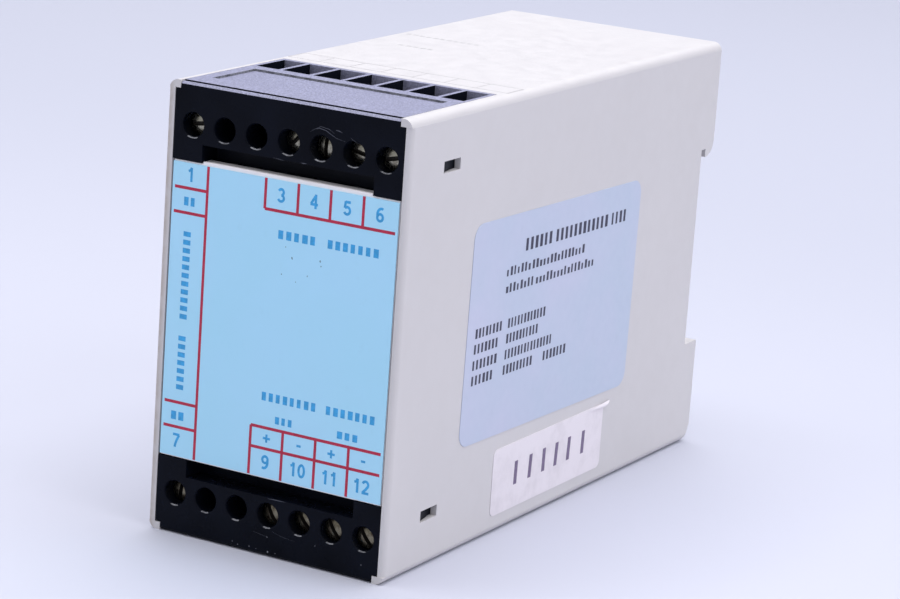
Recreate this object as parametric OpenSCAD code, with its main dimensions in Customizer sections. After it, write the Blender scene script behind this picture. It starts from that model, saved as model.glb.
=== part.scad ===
// Signal conditioner in a housing for a 35 mm top-hat rail, with seven screw poles above and seven below.
// X runs across the front, Y from the front to the rail, Z up. The origin is the centre of the base.
// The modules measure Y from the front face, and in_frame() moves them to the origin.

/* [Case] */
// Width of the case
case_w = 45; // [43:0.5:60]
// Height of the case
case_h = 75; // [72:0.5:90]
// Depth of the case, front face to rail side
case_d = 110; // [107:1:130]
// Thickness of the case walls
wall = 1.5; // [1.2:0.1:1.8]
// Radius of the long outer edges
edge_r = 1.6; // [1:0.1:2.2]
// Radius of the front edge of each side wall
front_edge_r = 0.5; // [0.3:0.05:0.8]
// Clearance between fitted pieces, per side
fit = 0.1; // [0.05:0.05:0.15]

/* [Case openings] */
// Depth of the cut-outs for the terminal blocks
cutout_d = 30; // [29:0.5:32]
// Width of the strip left beside each cut-out
flange_w = 2.4; // [2:0.1:2.5]
// Length of a latch window along the case
window_l = 5.2; // [4:0.2:7]
// Height of a latch window
window_h = 1.9; // [1.5:0.1:2.5]
// Front edge of the latch windows, from the front face
window_y = 10.6; // [8:0.2:13]
// Centre of the latch windows, in from the top or bottom face
window_drop = 8.9; // [7:0.1:10]

/* [Rail slot] */
// Height of the rail slot
slot_h = 35; // [34.5:0.1:36]
// Depth of the rail slot
slot_d = 4.8; // [4.6:0.1:5.5]
// Lower edge of the rail slot above the base
slot_z = 19.3; // [18.5:0.1:21]
// Width of the groove that takes the upper rail edge
hook_gap = 1.6; // [1.3:0.1:1.8]
// Height of that groove above the lip's tip
hook_rise = 1.5; // [1:0.1:2]
// Radius of the lip's lower outer corner
hook_r = 3; // [2:0.1:3.1]
// Chamfer on the lower rear edge of the case
heel_chamfer = 1.6; // [1:0.1:2]

/* [Rail latch] */
// Width of the latch's body
latch_w = 14; // [12:0.5:16]
// Thickness of the latch's body
latch_t = 3.4; // [3:0.1:3.5]
// Gap in front of the latch that takes the rail's 1 mm edge
rail_gap = 1.1; // [1.05:0.05:1.2]
// Width of the guide tongue on each side
tongue_w = 2; // [1.5:0.1:2.5]
// Thickness of the guide tongues
tongue_t = 1.5; // [1.2:0.1:1.7]
// Height of the guide tongues' top above the base
tongue_top = 16.8; // [16:0.1:17.2]
// Height of the nose above the slot's lower edge
nose_h = 2.9; // [2.6:0.1:3]
// Travel of the latch when it is pulled down
latch_travel = 3; // [2.5:0.1:3]
// Height of the latch's lower end above the base when it is pulled down
latch_rest = 0.2; // [0.1:0.05:0.4]
// Height of the latch's foot under the spring window
foot_h = 3; // [2.8:0.1:3.2]
// Width of the window that holds the spring
spring_window_w = 4; // [3.8:0.1:5]
// Gap between the latch's foot and the case's spring ledge
ledge_gap = 2; // [1.8:0.1:2.2]
// Thickness of the spring ledge
ledge_t = 1.5; // [1.2:0.1:1.7]
// Thickness of the latch above the spring window
latch_bridge = 6.2; // [5.8:0.1:6.4]
// Width of the screwdriver slot
pry_w = 5; // [4:0.1:6]
// Height of the screwdriver slot
pry_h = 1.3; // [1:0.1:1.5]
// Depth of the screwdriver slot
pry_d = 1.8; // [1:0.1:2]

/* [Latch spring] */
// Outer diameter of the spring
spring_d = 2.9; // [2.6:0.1:3]
// Diameter of the spring wire
spring_wire = 0.45; // [0.35:0.05:0.5]
// Turns of the spring
spring_turns = 6; // [4:1:6]

/* [Terminal blocks] */
// Height of a block's front face
face_h = 12.8; // [12:0.1:14]
// Height of a block
block_h = 15; // [14.6:0.1:16]
// Thickness of a block's inner wall under the wire pockets
block_floor = 1.5; // [1:0.1:2]
// Thickness of the ribs between the wire pockets
rib_t = 0.8; // [0.7:0.05:1]
// Front edge of the wire pockets, from the front face
pocket_y = 20.5; // [20.2:0.1:21]
// Thickness of the wall behind the wire pockets
pocket_rear = 0.8; // [0.6:0.1:1]
// Thickness of the walls outside the end pockets
pocket_side = 0.4; // [0.3:0.05:0.5]
// Diameter of the screw access holes
access_d = 4.3; // [4.2:0.1:4.6]
// Depth of the screw access holes
access_l = 5.8; // [5:0.1:7]
// Chamfer at the mouth of the screw access holes
mouth_chamfer = 0.2; // [0.1:0.05:0.3]
// Screw axis, in from the top or bottom face
screw_drop = 6.9; // [6.5:0.1:7.3]
// Half width of the finger recess beside the cover
recess_half = 16; // [12:0.5:18]
// Depth of the finger recess
recess_d = 4.5; // [3.4:0.1:5]
// Height of the finger recess
recess_h = 2.9; // [2:0.1:3]
// Width of the strip left beside the marker recess
marker_side = 1.8; // [1:0.1:4]
// Front edge of the marker recess
marker_y = 5.6; // [3:0.2:8]
// Length of the marker recess
marker_l = 12.4; // [8:0.2:13]
// Depth of the marker recess
marker_d = 0.4; // [0.2:0.05:0.6]
// Distance of the shallow groove behind the front edge
groove_y = 0.5; // [0.4:0.1:1]
// Width of the shallow groove
groove_w = 0.4; // [0.2:0.1:0.6]
// Depth of the shallow groove
groove_d = 0.3; // [0.2:0.05:0.5]
// Chamfer on the front edge of the block
block_chamfer = 0.25; // [0.1:0.05:0.4]
// How far the latch barbs stand out
barb = 1; // [0.6:0.1:1.2]

/* [Clamp screws] */
// How far a screw head lies behind the face
screw_sink = 1.6; // [1.2:0.1:2.6]
// Diameter of the screw heads
head_d = 3.9; // [3.6:0.1:4]
// Height of the screw heads
head_h = 2.4; // [2:0.1:3]
// Radius of the screw heads' dome
dome_r = 4.5; // [3.5:0.1:8]
// Diameter of the screw thread
thread_d = 2.9; // [2.6:0.1:3]
// Length of the screws under the head
thread_l = 19; // [18.8:0.1:20]
// Width of the driver slot
driver_w = 0.75; // [0.6:0.05:1]
// Depth of the driver slot
driver_d = 1.1; // [0.8:0.1:1.4]

/* [Clamps and contacts] */
// Gap between a clamp cage and the ribs beside it
cage_rib_gap = 0.4; // [0.3:0.05:0.5]
// Length of a clamp cage
cage_l = 7.3; // [7:0.1:7.6]
// Height of a clamp cage
cage_h = 5; // [4.6:0.1:5.2]
// Thickness of the cage's plain walls
cage_wall = 0.6; // [0.5:0.05:0.7]
// Thickness of the cage's threaded wall
cage_nut = 1.8; // [1.5:0.1:2]
// Gap between the cage and the pocket's front wall
cage_gap = 0.25; // [0.1:0.05:0.3]
// Gap between a contact and the cage's side walls
contact_gap = 0.3; // [0.2:0.05:0.4]
// Thickness of a contact
contact_t = 0.8; // [0.6:0.05:0.9]
// Width of the contact's solder tail
tail_w = 1.2; // [1:0.05:1.4]
// How far the solder tails pass through the front board
tail_out = 1.2; // [0.8:0.1:1.5]

/* [Front cover and labels] */
// Thickness of the cover's rim
cover_t = 3; // [2.9:0.1:3.2]
// Thickness of the cover's plate
plate_t = 1.5; // [1.2:0.1:1.8]
// Width of the cover's rim
rim_w = 1.4; // [1:0.1:2]
// Gap between the cover and the side walls
cover_gap = 0.3; // [0.2:0.05:0.4]
// Height of the cover's lip in the upper finger recess
lip_h = 0.35; // [0.25:0.05:0.8]
// Depth of the lip from front to rear
lip_d = 2.4; // [1.5:0.1:2.9]
// Width and depth of the groove along the lip
lip_groove = 0.2; // [0.1:0.05:0.25]
// Width of a cover clip
clip_w = 6; // [4:0.5:8]
// Distance between the clips' centres
clip_span = 24; // [18:0.5:26]
// Thickness of a cover clip
clip_t = 1.2; // [1:0.1:1.4]
// Length of a cover clip behind the rim
clip_l = 5; // [4.5:0.1:6]
// Height of a clip's barb
clip_barb = 0.6; // [0.4:0.05:0.8]
// Thickness of the front label
label_t = 0.2; // [0.1:0.05:0.3]
// Margin of the cover above and below the front label
label_margin = 0.25; // [0.2:0.05:1]
// Margin of the cover beside the front label
label_side_gap = 0.05; // [0:0.05:0.5]
// Thickness of the side labels
sticker_t = 0.1; // [0.05:0.01:0.15]
// Length of the rating label
rating_l = 59.2; // [50:0.2:62]
// Height of the rating label
rating_h = 37.2; // [30:0.2:40]
// Corner radius of the rating label
rating_r = 2.6; // [1:0.1:5]
// Centre of the rating label, from the front face
rating_y = 51.4; // [45:0.2:58]
// Centre of the rating label above the base
rating_z = 35.9; // [32:0.1:38]
// Tilt of the rating label in degrees
rating_tilt = -1; // [-2:0.1:2]
// Length of the stock sticker
stock_l = 39.4; // [30:0.2:45]
// Height of the stock sticker
stock_h = 11.6; // [8:0.1:12]
// Corner radius of the stock sticker
stock_r = 1.2; // [0.5:0.1:2]
// Centre of the stock sticker, from the front face
stock_y = 53.6; // [45:0.2:60]
// Centre of the stock sticker above the base
stock_z = 9; // [8:0.1:10]

/* [Boards] */
// Thickness of the circuit boards
board_t = 1.6; // [1.4:0.1:1.8]
// Gap between the left side wall and the main board
board_gap = 8; // [7:0.1:9]
// Gap between a board's edge and the case
board_edge = 0.3; // [0.2:0.05:0.4]
// Gap between the front board's sides and the case
front_board_edge = 0.5; // [0.3:0.1:1]
// Distance of the main board's rear end from the rear wall
board_rear = 1.7; // [1:0.1:3]
// Height of the guide ribs
guide_h = 2.5; // [2:0.1:3]
// Thickness of the guide ribs
guide_t = 1; // [0.8:0.1:1.4]
// Start of the guide ribs behind the front face
guide_y = 40; // [36:1:45]
// Pitch of the board header
header_pitch = 2.54; // [2.4:0.01:2.6]
// Poles of the board header
header_poles = 12; // [6:1:13]
// Thickness of the header's pins
pin_t = 0.64; // [0.5:0.02:0.7]

/* [Transformer] */
// Length of the core along the board
core_l = 30; // [28:0.5:31]
// Height of the core above its feet
core_h = 25; // [24:0.5:26]
// Stack thickness of the core
core_stack = 12; // [10:0.5:13]
// Width of the core's outer limbs and yokes
core_limb = 5; // [4:0.25:5.5]
// Width of the core's middle limb
core_middle = 10; // [9:0.25:10.5]
// Height of the core above the board
core_lift = 2; // [1.5:0.1:2.5]
// Thickness of the bobbin's walls
bobbin_t = 0.8; // [0.6:0.05:1]
// How far the winding stands out beside the stack
winding_out = 4.2; // [3:0.1:5]

/* [Components] */
// Diameter of the large filter capacitor
big_cap_d = 10; // [8:0.5:11]
// Length of the large filter capacitor
big_cap_l = 16; // [12:0.5:20]
// Diameter of the small filter capacitor
small_cap_d = 8; // [6:0.5:9]
// Length of the small filter capacitor
small_cap_l = 12; // [10:0.5:15]
// Diameter of the bridge rectifier
rectifier_d = 9; // [8:0.5:10]
// Height of the bridge rectifier
rectifier_h = 5.5; // [4:0.5:7]
// Diameter of the mains fuse
fuse_d = 5; // [4.8:0.1:5.2]
// Length of the mains fuse
fuse_l = 20; // [19:0.5:21]
// Diameter of the surge suppressor
suppressor_d = 10; // [8:0.5:11]
// Thickness of the surge suppressor
suppressor_t = 4; // [3:0.5:5]
// Height of the surge suppressor above the board
suppressor_lift = 1; // [0.5:0.1:2]
// Width of the regulator's body
regulator_w = 10; // [9:0.1:10.5]
// Thickness of the regulator's body
regulator_t = 4.4; // [4:0.1:4.8]
// Height of the regulator's body
regulator_h = 9; // [8:0.1:9.5]
// Height of the regulator above the board
regulator_lift = 4; // [3:0.1:5]
// Height of the regulator's cooling tab
tab_h = 15.5; // [14:0.1:16.5]
// Thickness of the regulator's cooling tab
tab_t = 1.3; // [1:0.1:1.5]
// Diameter of the hole in the cooling tab
tab_hole = 3.8; // [3.2:0.1:4]
// Width of the regulator's legs
leg_w = 0.8; // [0.6:0.05:1]
// Width of the chips' bodies
chip_w = 6.4; // [6:0.1:6.8]
// Height of the chips' bodies
chip_h = 3.3; // [3:0.1:3.6]
// Height of the chips' bodies above the board
chip_lift = 0.5; // [0.4:0.05:0.8]
// Thickness of the chips' and the regulator's legs
leg_t = 0.4; // [0.3:0.05:0.5]
// Distance between the chips' legs
chip_pitch = 2.54; // [2.4:0.01:2.6]
// Length of a film capacitor
film_l = 7.2; // [6:0.1:8]
// Thickness of a film capacitor
film_t = 3.5; // [2.5:0.1:4]
// Height of a film capacitor
film_h = 7.5; // [6:0.1:9]
// Length of a resistor's body
resistor_l = 6.4; // [5:0.1:7]
// Diameter of a resistor's body
resistor_d = 2.4; // [2:0.1:2.8]
// Diameter of the resistors' leads
lead_d = 0.6; // [0.5:0.05:0.8]
// Distance between the resistors
resistor_pitch = 4; // [3.2:0.1:4.4]
// Side of a trimmer's body
trimmer_a = 9.5; // [8:0.1:10]
// Thickness of a trimmer's body
trimmer_t = 4.8; // [4:0.1:5.5]
// Distance between the trimmers
trimmer_span = 16; // [14:0.5:18]
// Distance of the trimmers from the case's middle plane
trimmer_x = 8; // [7:0.5:9]
// Diameter of the trimmers' adjusters
knob_d = 2.2; // [1.8:0.1:2.4]
// Height of the trimmers' adjusters
knob_h = 1.2; // [0.8:0.1:1.5]
// Width of the slot in the adjusters
knob_slot = 0.5; // [0.4:0.05:0.7]

/* [Hidden] */
$fn = 48;
// Overrun of a cut past the face that it opens
over = 1;
// Poles of each block, counted from the left, and those that carry a screw, a clamp and a contact
poles = 7;
wired_poles = [1, 4, 5, 6, 7];
// Direction of each screw's driver slot in degrees, from the horizontal
upper_turns = [8, 48, 88, -14, 12];
lower_turns = [-84, 60, 50, 55, 52];
// How much deeper each screw sits than screw_sink
upper_depths = [0.1, 0.5, 0, 0.3, 0];
lower_depths = [0.2, -0.3, 0, -0.6, -0.6];

inner_w = case_w - 2 * wall;
inner_h = case_h - 2 * wall;
cutout_w = case_w - 2 * flange_w;
slot_y = case_d - slot_d;
slot_top = slot_z + slot_h;
cavity_y = slot_y - wall;
pitch = inner_w / poles;

block_w = inner_w - 2 * fit;
block_top_w = cutout_w - 2 * fit;
block_y = cutout_d - fit;
block_z = case_h - block_h;
marker_w = block_top_w - 2 * marker_side;
body_top = case_h - wall - fit;
face_z = case_h - face_h;
pocket_w = pitch - rib_t;
pocket_l = block_y - pocket_rear - pocket_y;
pocket_z = block_z + block_floor;
screw_z = case_h - screw_drop;

cage_w = pocket_w - 2 * cage_rib_gap;
contact_w = cage_w - 2 * cage_wall - 2 * contact_gap;
cage_y = pocket_y + cage_gap;
cage_z = screw_z - cage_h / 2;
contact_y = cage_y + cage_l - cage_wall - contact_t - fit;
tail_z = pocket_z + contact_t;

front_board_y = block_y;
front_board_rear = front_board_y + board_t;
header_a = header_pitch;
main_board_y = front_board_rear + header_a + fit;
header_l = header_poles * header_pitch;
header_z = (case_h - header_l) / 2;
board_x = inner_w / 2 - board_gap - board_t;
board_z = wall + board_edge;
board_l = cavity_y - board_rear - main_board_y;
board_h = inner_h - 2 * board_edge;

latch_y = slot_y + rail_gap;
channel_y = latch_y - fit;
channel_w = latch_w + 2 * fit;
tongue_span = latch_w + 2 * tongue_w;
latch_z = latch_travel + latch_rest;
spring_window_z = latch_z + foot_h;
ledge_z = spring_window_z + ledge_gap;
nose_top = slot_z + nose_h;
spring_top = nose_top - latch_bridge;
ledge_top = ledge_z + ledge_t;

cover_w = inner_w - 2 * cover_gap;
cover_z = face_h + fit;
cover_h = case_h - 2 * cover_z;
cover_top = cover_z + cover_h;
clip_y = cover_t + clip_l;

light_grey = [0.84, 0.82, 0.85];
black = [0.05, 0.06, 0.09];
label_blue = [0.62, 0.80, 0.93];
steel = [0.62, 0.60, 0.55];
brass = [0.75, 0.62, 0.35];
tin = [0.72, 0.73, 0.74];
board_green = [0.12, 0.36, 0.22];

// A place on the main board, as shares of its length and height.
function spot(along, up) = [main_board_y + along * board_l, board_z + up * board_h];

// Places of the components
suppressor_at = spot(0.13, 0.227);
fuse_at = spot(0.388, 0.129);
rectifier_at = spot(0.352, 0.353);
big_cap_at = spot(0.411, 0.605);
small_cap_at = spot(0.602, 0.619);
regulator_at = spot(0.911, 0.577);
transformer_at = spot(0.705, 0.332);
amplifiers_at = [spot(0.175, 0.843), spot(0.175, 0.675), spot(0.175, 0.507)];
isolation_at = spot(0.175, 0.353);
films_at = [spot(0.337, 0.871), spot(0.47, 0.871), spot(0.602, 0.871)];
resistors_at = spot(0.779, 0.941);
resistor_count = 6;

// Moves a piece from the front face's frame to the part's origin.
module in_frame() {
    translate([0, -case_d / 2, 0]) children();
}

// Extrudes a side profile, drawn as Y and Z, over the width w about the middle plane.
module across(w) {
    translate([-w / 2, 0, 0]) rotate([90, 0, 90]) linear_extrude(w) children();
}

// Extrudes a front profile, drawn as X and Z, from y backwards over the length l.
module backwards(y, l) {
    translate([0, y + l, 0]) rotate([90, 0, 0]) linear_extrude(l) children();
}

// Mirrors a piece of the upper block to the lower block's place.
module to_lower() {
    translate([0, 0, case_h]) mirror([0, 0, 1]) children();
}

// Repeats a piece on the left and on the right.
module both_sides() {
    children();
    mirror([1, 0, 0]) children();
}

// A rectangle with round corners about the origin.
module rounded_rect(w, h, r) {
    square([w - 2 * r, h], center = true);
    square([w, h - 2 * r], center = true);
    for (x = [-1, 1], y = [-1, 1])
        translate([x * (w / 2 - r), y * (h / 2 - r)]) circle(r);
}

// A rod along Y that starts at y.
module rod(y, l, d) {
    translate([0, y + l, 0]) rotate([90, 0, 0]) cylinder(h = l, d = d);
}

function pole_x(pole) = (pole - (poles + 1) / 2) * pitch;

// Case shell

module case_body() {
    backwards(0, case_d) translate([0, case_h / 2]) rounded_rect(case_w, case_h, edge_r);
}

module case_cavity() {
    translate([-inner_w / 2, -over, wall]) cube([inner_w, cavity_y + over, inner_h]);
    lip_z = slot_top + hook_rise + 2 * wall;
    translate([-inner_w / 2, cavity_y - over, lip_z])
        cube([inner_w, case_d - wall - cavity_y + over, case_h - wall - lip_z]);
    heel_x = tongue_span / 2 + fit + wall;
    both_sides() translate([heel_x, cavity_y - over, wall])
        cube([inner_w / 2 - heel_x, case_d - 2 * wall - cavity_y + over, slot_z - 2 * wall]);
}

module terminal_cutouts() {
    translate([-cutout_w / 2, -over, -over]) cube([cutout_w, cutout_d + over, case_h + 2 * over]);
}

module latch_windows() {
    for (z = [window_drop, case_h - window_drop])
        translate([-case_w / 2 - over, window_y, z - window_h / 2])
            cube([case_w + 2 * over, window_l, window_h]);
}

// The side walls' front edges are round between the four corner ears.
module front_edge_cut() {
    both_sides() translate([case_w / 2, 0, wall]) linear_extrude(inner_h) difference() {
        translate([-front_edge_r, -over]) square([front_edge_r + over, front_edge_r + over]);
        translate([-front_edge_r, front_edge_r]) circle(front_edge_r);
    }
}

module rail_slot_profile() {
    translate([slot_y, slot_z]) square([slot_d + over, slot_h]);
    translate([slot_y, slot_top - over]) square([hook_gap, hook_rise + over]);
    translate([case_d - hook_r, slot_top - over]) difference() {
        square([hook_r + over, hook_r + over]);
        translate([0, hook_r + over]) circle(hook_r);
        translate([-over, hook_r + over]) square([hook_r + 2 * over, hook_r]);
    }
}

module heel_profile() {
    polygon([
        [case_d - heel_chamfer, -over], [case_d + over, -over],
        [case_d + over, 2 * heel_chamfer + over], [case_d, 2 * heel_chamfer], [case_d - heel_chamfer, 0]
    ]);
}

module latch_channel() {
    translate([-channel_w / 2, channel_y, -over])
        cube([channel_w, case_d - channel_y + over, slot_z + 2 * over]);
    translate([-tongue_span / 2 - fit, channel_y, -over])
        cube([tongue_span + 2 * fit, tongue_t + 2 * fit, tongue_top + 2 * fit + over]);
}

module spring_ledge() {
    ledge_w = spring_window_w - 4 * fit;
    translate([-ledge_w / 2, channel_y - wall, ledge_z]) cube([ledge_w, latch_t + wall, ledge_t]);
}

module board_guides() {
    rib_l = cavity_y - guide_y;
    rib_gap = board_t + 2 * fit;
    for (z = [wall, case_h - wall - guide_h], side = [0, 1])
        translate([-board_x + fit - side * (rib_gap + guide_t), guide_y, z]) cube([guide_t, rib_l, guide_h]);
}

module case_shell() in_frame() color(light_grey) {
    difference() {
        case_body();
        case_cavity();
        terminal_cutouts();
        latch_windows();
        front_edge_cut();
        across(case_w + 2 * over) rail_slot_profile();
        across(case_w + 2 * over) heel_profile();
        latch_channel();
    }
    spring_ledge();
    board_guides();
}

// Terminal blocks, drawn as the upper one

module block_body() {
    across(block_w) polygon([
        [0, face_z], [0, body_top], [block_y, body_top], [block_y, block_z],
        [cover_t + fit, block_z], [cover_t + fit, face_z]
    ]);
    across(block_top_w) polygon([
        [0, body_top - over], [0, case_h - block_chamfer], [block_chamfer, case_h],
        [block_y, case_h], [block_y, body_top - over]
    ]);
}

// One wire pocket between the heights z0 and z1, kept within half width limit.
module wire_pocket(pole, limit, z0, z1) {
    x0 = max(pole_x(pole) - pocket_w / 2, -limit);
    x1 = min(pole_x(pole) + pocket_w / 2, limit);
    translate([x0, pocket_y, z0]) cube([x1 - x0, pocket_l, z1 - z0]);
}

module pole_cuts(pole) {
    wire_pocket(pole, block_w / 2 - pocket_side, pocket_z, body_top - wall);
    wire_pocket(pole, block_top_w / 2 - pocket_side, body_top - wall - over, case_h + over);
    translate([pole_x(pole), 0, screw_z]) {
        rod(-over, access_l + over, access_d);
        translate([0, mouth_chamfer, 0]) rotate([90, 0, 0])
            cylinder(h = mouth_chamfer + over, d1 = access_d, d2 = access_d + 2 * (mouth_chamfer + over));
        rod(0, pocket_y + over, thread_d + 4 * fit);
    }
    translate([pole_x(pole) - tail_w / 2 - fit, block_y - pocket_rear - over, pocket_z])
        cube([tail_w + 2 * fit, pocket_rear + 2 * over, contact_t + fit]);
}

module finger_recess() {
    translate([-recess_half, -over, face_z]) cube([2 * recess_half, recess_d + over, recess_h]);
}

module marker_recess() {
    translate([-marker_w / 2, marker_y, case_h - marker_d]) cube([marker_w, marker_l, marker_d + over]);
    translate([-block_top_w / 2 - over, groove_y, case_h - groove_d])
        cube([block_top_w + 2 * over, groove_w, groove_d + over]);
}

// A notch for each cover clip's barb.
module clip_notches() {
    notch_x = (clip_span - clip_w) / 2 - fit;
    notch_l = 2 * clip_barb + 4 * fit;
    both_sides() translate([notch_x, clip_y + 2 * fit - notch_l, block_z - over])
        cube([clip_w + 2 * fit, notch_l, clip_barb + 2 * fit + over]);
}

module window_barbs() {
    y0 = window_y + fit;
    y1 = window_y + window_l - fit;
    barb_h = window_h - 2 * fit;
    both_sides() translate([block_w / 2, 0, case_h - window_drop - barb_h / 2]) linear_extrude(barb_h)
        polygon([[-over, y0], [barb, y0], [0, y1], [-over, y1]]);
}

module terminal_block() {
    difference() {
        block_body();
        for (pole = [1 : poles]) pole_cuts(pole);
        finger_recess();
        marker_recess();
        clip_notches();
    }
    difference() {
        window_barbs();
        pole_cuts(1);
        pole_cuts(poles);
    }
}

module upper_terminal_block() in_frame() color(black) terminal_block();
module lower_terminal_block() in_frame() color(black) to_lower() terminal_block();

// Clamp screws, cages and contacts

// A slotted screw with a domed head that starts at y = sink.
module clamp_screw(sink, turn) {
    difference() {
        union() {
            intersection() {
                rod(sink, head_h, head_d);
                translate([0, sink + dome_r, 0]) sphere(r = dome_r);
            }
            rod(sink + head_h - over, thread_l + over, thread_d);
        }
        translate([0, sink, 0]) rotate([0, -turn, 0])
            translate([-head_d, -over, -driver_w / 2]) cube([2 * head_d, driver_d + over, driver_w]);
    }
}

module clamp_screws(depths, turns) {
    for (k = [0 : len(wired_poles) - 1])
        translate([pole_x(wired_poles[k]), 0, screw_z]) clamp_screw(screw_sink + depths[k], turns[k]);
}

module upper_clamp_screws() in_frame() color(steel) clamp_screws(upper_depths, upper_turns);
module lower_clamp_screws() in_frame() color(steel) to_lower() clamp_screws(lower_depths, lower_turns);

module wire_cage() {
    difference() {
        translate([-cage_w / 2, 0, 0]) cube([cage_w, cage_l, cage_h]);
        translate([-cage_w / 2 + cage_wall, cage_nut, -over])
            cube([cage_w - 2 * cage_wall, cage_l - cage_nut - cage_wall, cage_h + 2 * over]);
        translate([0, 0, cage_h / 2]) rod(-over, cage_nut + 2 * over, thread_d + fit);
    }
}

module wire_clamps() {
    for (pole = wired_poles) translate([pole_x(pole), cage_y, cage_z]) wire_cage();
}

module upper_wire_clamps() in_frame() color(brass) wire_clamps();
module lower_wire_clamps() in_frame() color(brass) to_lower() wire_clamps();

// A strip that stands in the cage, with a foot that runs back to the solder tail.
module contact() {
    top = cage_z + cage_h;
    translate([-contact_w / 2, contact_y, pocket_z]) cube([contact_w, contact_t, top - pocket_z]);
    translate([-tail_w / 2, contact_y, pocket_z])
        cube([tail_w, front_board_rear + tail_out - contact_y, contact_t]);
}

module contacts() {
    for (pole = wired_poles) translate([pole_x(pole), 0, 0]) contact();
}

module upper_contacts() in_frame() color(tin) contacts();
module lower_contacts() in_frame() color(tin) to_lower() contacts();

// Front cover and labels

module cover_clip() {
    z = block_z - fit - clip_t;
    translate([clip_span / 2 - clip_w / 2, 0, 0]) {
        translate([0, plate_t, z]) cube([clip_w, clip_y - plate_t, clip_t]);
        rotate([90, 0, 90]) linear_extrude(clip_w) polygon([
            [clip_y - 2 * clip_barb, z + clip_t - over], [clip_y - 2 * clip_barb, z + clip_t + clip_barb],
            [clip_y, z + clip_t], [clip_y, z + clip_t - over]
        ]);
    }
}

// The lip that a fingernail catches in the upper recess, with a fine groove along it.
module cover_lip() {
    lip_half = recess_half - 2 * fit;
    difference() {
        translate([-lip_half, label_t, cover_top - over]) cube([2 * lip_half, lip_d - label_t, lip_h + over]);
        translate([-recess_half, 2 * lip_groove, cover_top + lip_h - lip_groove])
            cube([2 * recess_half, lip_groove, lip_groove + over]);
    }
}

module front_cover() in_frame() color(light_grey) {
    difference() {
        translate([-cover_w / 2, label_t, cover_z]) cube([cover_w, cover_t - label_t, cover_h]);
        translate([-cover_w / 2 + rim_w, plate_t, cover_z + rim_w])
            cube([cover_w - 2 * rim_w, cover_t, cover_h - 2 * rim_w]);
    }
    cover_lip();
    both_sides() cover_clip();
    both_sides() to_lower() cover_clip();
}

module front_label() in_frame() color(label_blue) {
    label_w = cover_w - 2 * label_side_gap;
    label_h = cover_h - 2 * label_margin;
    translate([-label_w / 2, 0, cover_z + label_margin]) cube([label_w, label_t, label_h]);
}

// A thin sheet on the right side, about y and z, with its corners rounded by r.
module side_sheet(y, z, l, h, r, tilt) {
    translate([case_w / 2, y, z]) rotate([90, 0, 90]) linear_extrude(sticker_t)
        rotate(tilt) rounded_rect(l, h, r);
}

module rating_label() in_frame() color([0.74, 0.79, 0.88])
    side_sheet(rating_y, rating_z, rating_l, rating_h, rating_r, rating_tilt);

module stock_sticker() in_frame() color([0.93, 0.92, 0.95])
    side_sheet(stock_y, stock_z, stock_l, stock_h, stock_r, 0);

// Rail latch and its spring

module rail_latch() in_frame() color(black) difference() {
    union() {
        translate([-latch_w / 2, latch_y, latch_z]) cube([latch_w, latch_t, nose_top - latch_z]);
        translate([-tongue_span / 2, latch_y, latch_z]) cube([tongue_span, tongue_t, tongue_top - latch_z]);
    }
    translate([-spring_window_w / 2, latch_y - over, spring_window_z])
        cube([spring_window_w, latch_t + 2 * over, spring_top - spring_window_z]);
    across(latch_w + 2 * over) polygon([
        [latch_y + latch_t + over, nose_top - latch_t / 2 - over],
        [latch_y + latch_t + over, nose_top + over], [latch_y + latch_t / 2 - over, nose_top + over]
    ]);
    translate([-pry_w / 2, latch_y + latch_t - pry_d, latch_z + (foot_h - pry_h) / 2])
        cube([pry_w, pry_d + over, pry_h]);
}

// A coil of round wire from z0 to z1, as a closed tube around a helix.
module coil(z0, z1, r, wire, turns) {
    sides = 8;
    steps = 16 * turns;
    function ring(k) = let (a = 360 * turns * k / steps, z = z0 + (z1 - z0) * k / steps)
        [for (j = [0 : sides - 1]) let (b = 360 * j / sides, c = r + wire / 2 * cos(b))
            [c * cos(a), c * sin(a), z + wire / 2 * sin(b)]];
    points = [for (k = [0 : steps]) each ring(k)];
    skin = [for (k = [0 : steps - 1], j = [0 : sides - 1]) let (n = (j + 1) % sides)
        [k * sides + j, (k + 1) * sides + j, (k + 1) * sides + n, k * sides + n]];
    ends = [
        [for (j = [0 : sides - 1]) j],
        [for (j = [sides - 1 : -1 : 0]) steps * sides + j]
    ];
    polyhedron(points = points, faces = concat(skin, ends), convexity = 10);
}

module latch_spring() in_frame() color(steel)
    translate([0, latch_y + latch_t / 2, 0])
        coil(ledge_top + fit + spring_wire / 2, spring_top - fit - spring_wire / 2,
            (spring_d - spring_wire) / 2, spring_wire, spring_turns);

// Boards and the header between them

module header_pins_at() {
    for (k = [0 : header_poles - 1])
        translate([-board_x + header_a / 2, 0, header_z + (k + 0.5) * header_pitch]) children();
}

// One angled pin, thicker by grow on every side for its hole.
module angle_pin(grow) {
    a = pin_t + 2 * grow;
    bend_y = main_board_y + header_a;
    translate([-a / 2, front_board_y - over - grow, -a / 2])
        cube([a, bend_y + a / 2 - front_board_y + over + grow, a]);
    translate([-header_a / 2 - board_t - over - grow, bend_y - a / 2, -a / 2])
        cube([header_a / 2 + board_t + over + grow, a, a]);
}

module front_board() in_frame() color(board_green) difference() {
    w = inner_w - 2 * front_board_edge;
    translate([-w / 2, front_board_y, board_z]) cube([w, board_t, board_h]);
    for (pole = wired_poles) {
        tail_hole(pole);
        to_lower() tail_hole(pole);
    }
    header_pins_at() angle_pin(fit);
}

module tail_hole(pole) {
    translate([pole_x(pole) - tail_w / 2 - fit, front_board_y - over, pocket_z - fit])
        cube([tail_w + 2 * fit, board_t + 2 * over, contact_t + 2 * fit]);
}

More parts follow.
